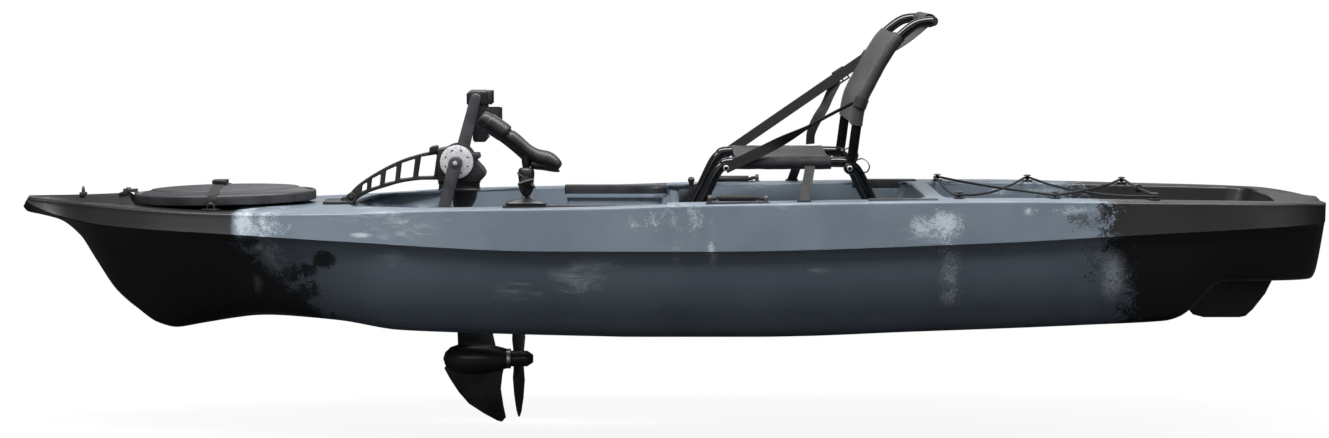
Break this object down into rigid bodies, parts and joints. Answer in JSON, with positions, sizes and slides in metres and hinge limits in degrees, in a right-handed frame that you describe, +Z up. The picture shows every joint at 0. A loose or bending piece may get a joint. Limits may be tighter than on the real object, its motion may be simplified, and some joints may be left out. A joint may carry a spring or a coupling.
{
  "type": "pedal kayak",
  "caption": "Sit-on-top fishing kayak with a swing-up pedal drive, framed folding seat, rudder, bow hatch, tank well and rod holder.",
  "frame": {"origin": "centre plane, mid length, level with the flats of the hull bottom", "axes": "+X aft, +Y starboard, +Z up"},
  "size_m": [3.2, 0.84, 1.0154],
  "materials": {
    "hull": "rotomoulded polyethylene, mottled",
    "hatch_plastic": "moulded, fine grain",
    "black_plastic": "moulded, satin",
    "disc_metal": "satin anodised",
    "steel": "ground",
    "frame_tube": "black powder coat",
    "seat_fabric": "woven mesh",
    "back_fabric": "woven mesh",
    "webbing": "polyester webbing",
    "cord_rubber": "braided shock cord and moulded rubber"
  },
  "bodies": {
    "kayak": {"hull_bow": "hull", "hull_cockpit": "hull", "hull_waist": "hull", "hull_stern": "hull", "bow_hatch_coaming": "hatch_plastic", "bow_hatch_hinge": "black_plastic", "bow_pad_eye": "black_plastic", "hatch_strap_eye_port": "black_plastic", "hatch_strap_eye_starboard": "black_plastic", "accessory_rail_front_port": "black_plastic", "accessory_rail_front_starboard": "black_plastic", "accessory_rail_rear_port": "black_plastic", "accessory_rail_rear_starboard": "black_plastic", "carry_handle_base_port": "black_plastic", "carry_handle_base_starboard": "black_plastic", "lashing_post_1_port": "black_plastic", "lashing_post_2_port": "black_plastic", "lashing_post_3_port": "black_plastic", "lashing_post_1_starboard": "black_plastic", "lashing_post_2_starboard": "black_plastic", "lashing_post_3_starboard": "black_plastic", "lashing_cord": "cord_rubber", "lashing_toggle": "black_plastic", "steering_base": "black_plastic", "drive_bracket": "black_plastic", "seat_base_frame": "frame_tube", "seat_pan": "seat_fabric", "seat_strap_port": "webbing", "seat_strap_starboard": "webbing", "seat_tie_port": "webbing", "seat_tie_starboard": "webbing"},
    "hatch_lid": {"bow_hatch_lid": "hatch_plastic", "bow_hatch_strap": "webbing", "bow_hatch_buckle": "black_plastic"},
    "handle_port": {"carry_handle_port": "cord_rubber"},
    "handle_starboard": {"carry_handle_starboard": "cord_rubber"},
    "rudder_blade": {"rudder": "black_plastic"},
    "steering": {"steering_lever": "black_plastic"},
    "drive": {"drive_arm": "black_plastic", "drive_head_port": "black_plastic", "drive_head_starboard": "black_plastic", "drive_column": "black_plastic", "lower_unit": "black_plastic", "prop_ring": "disc_metal"},
    "crank": {"crank_axle": "steel", "hub_disc_port": "disc_metal", "hub_disc_starboard": "disc_metal", "crank_arm_port": "black_plastic", "crank_arm_starboard": "black_plastic"},
    "left_pedal": {"pedal_port": "black_plastic"},
    "right_pedal": {"pedal_starboard": "black_plastic"},
    "upright_shaft": {"drive_shaft": "steel"},
    "screw": {"prop_shaft": "steel", "propeller": "black_plastic"},
    "seat_back": {"seat_back_frame": "frame_tube", "seat_back_panel": "back_fabric"},
    "rod_slider": {"rod_mount_base": "black_plastic"},
    "rod_link": {"rod_mount_arm": "black_plastic"},
    "rod_wing": {"rod_mount_knob": "black_plastic"},
    "rod_cup": {"rod_holder": "black_plastic"}
  },
  "joints": [
    {"name": "drive_lift", "type": "hinge", "parent": "kayak", "child": "drive", "pos_m": [-0.785, 0, 0.315], "axis": [0, -1, 0], "range_deg": [0, 60]},
    {"name": "crank_spin", "type": "hinge", "parent": "drive", "child": "crank", "pos_m": [-0.523, 0, 0.4056], "axis": [0, 1, 0], "continuous": true},
    {"name": "pedal_port_spin", "type": "hinge", "parent": "crank", "child": "left_pedal", "pos_m": [-0.56156, -0.172, 0.2565], "axis": [0, 1, 0], "continuous": true},
    {"name": "pedal_starboard_spin", "type": "hinge", "parent": "crank", "child": "right_pedal", "pos_m": [-0.48444, 0.172, 0.5547], "axis": [0, 1, 0], "continuous": true},
    {"name": "upright_shaft_spin", "type": "hinge", "parent": "drive", "child": "upright_shaft", "pos_m": [-0.511, 0, 0.1], "axis": [0, 0, 1], "continuous": true},
    {"name": "propeller_spin", "type": "hinge", "parent": "drive", "child": "screw", "pos_m": [-0.374, 0, -0.087], "axis": [1, 0, 0], "continuous": true},
    {"name": "rudder_steer", "type": "hinge", "parent": "kayak", "child": "rudder_blade", "pos_m": [1.33, 0, 0.125], "axis": [0, 0, 1], "range_deg": [-35, 35]},
    {"name": "steering_turn", "type": "hinge", "parent": "kayak", "child": "steering", "pos_m": [0.057, 0.295, 0.296], "axis": [0, 1, 0], "range_deg": [-35, 35]},
    {"name": "seat_back_fold", "type": "hinge", "parent": "kayak", "child": "seat_back", "pos_m": [0.432, 0, 0.403], "axis": [0, -1, 0], "range_deg": [0, 70], "deforming": ["seat_strap_port", "seat_strap_starboard"]},
    {"name": "bow_hatch_open", "type": "hinge", "parent": "kayak", "child": "hatch_lid", "pos_m": [-1.34265, 0, 0.33295], "axis": [0, -1, 0], "range_deg": [0, 110]},
    {"name": "carry_handle_port_lift", "type": "hinge", "parent": "kayak", "child": "handle_port", "pos_m": [0.1615, -0.384, 0.33835], "axis": [1, 0, 0], "range_deg": [0, 110]},
    {"name": "carry_handle_starboard_lift", "type": "hinge", "parent": "kayak", "child": "handle_starboard", "pos_m": [0.1615, 0.384, 0.33835], "axis": [-1, 0, 0], "range_deg": [0, 110]},
    {"name": "rod_base_slide", "type": "slide", "parent": "kayak", "child": "rod_slider", "axis": [1, 0, 0], "range_m": [0, 0.2]},
    {"name": "rod_link_tilt", "type": "hinge", "parent": "rod_slider", "child": "rod_link", "pos_m": [-0.339, -0.3538, 0.353], "axis": [0, 1, 0], "range_deg": [-18, 18]},
    {"name": "rod_holder_swivel", "type": "hinge", "parent": "rod_link", "child": "rod_cup", "pos_m": [-0.339, -0.3538, 0.403], "axis": [0, 0, 1], "range_deg": [-60, 60]},
    {"name": "rod_knob_turn", "type": "hinge", "parent": "rod_link", "child": "rod_wing", "pos_m": [-0.339, -0.3838, 0.378], "axis": [0, 1, 0], "range_deg": [-90, 90]}
  ],
  "couplings": [
    {"joint": "upright_shaft_spin", "follows": "crank_spin", "ratio": 2.3333},
    {"joint": "propeller_spin", "follows": "crank_spin", "ratio": -2},
    {"joint": "steering_turn", "follows": "rudder_steer", "ratio": 1}
  ]
}
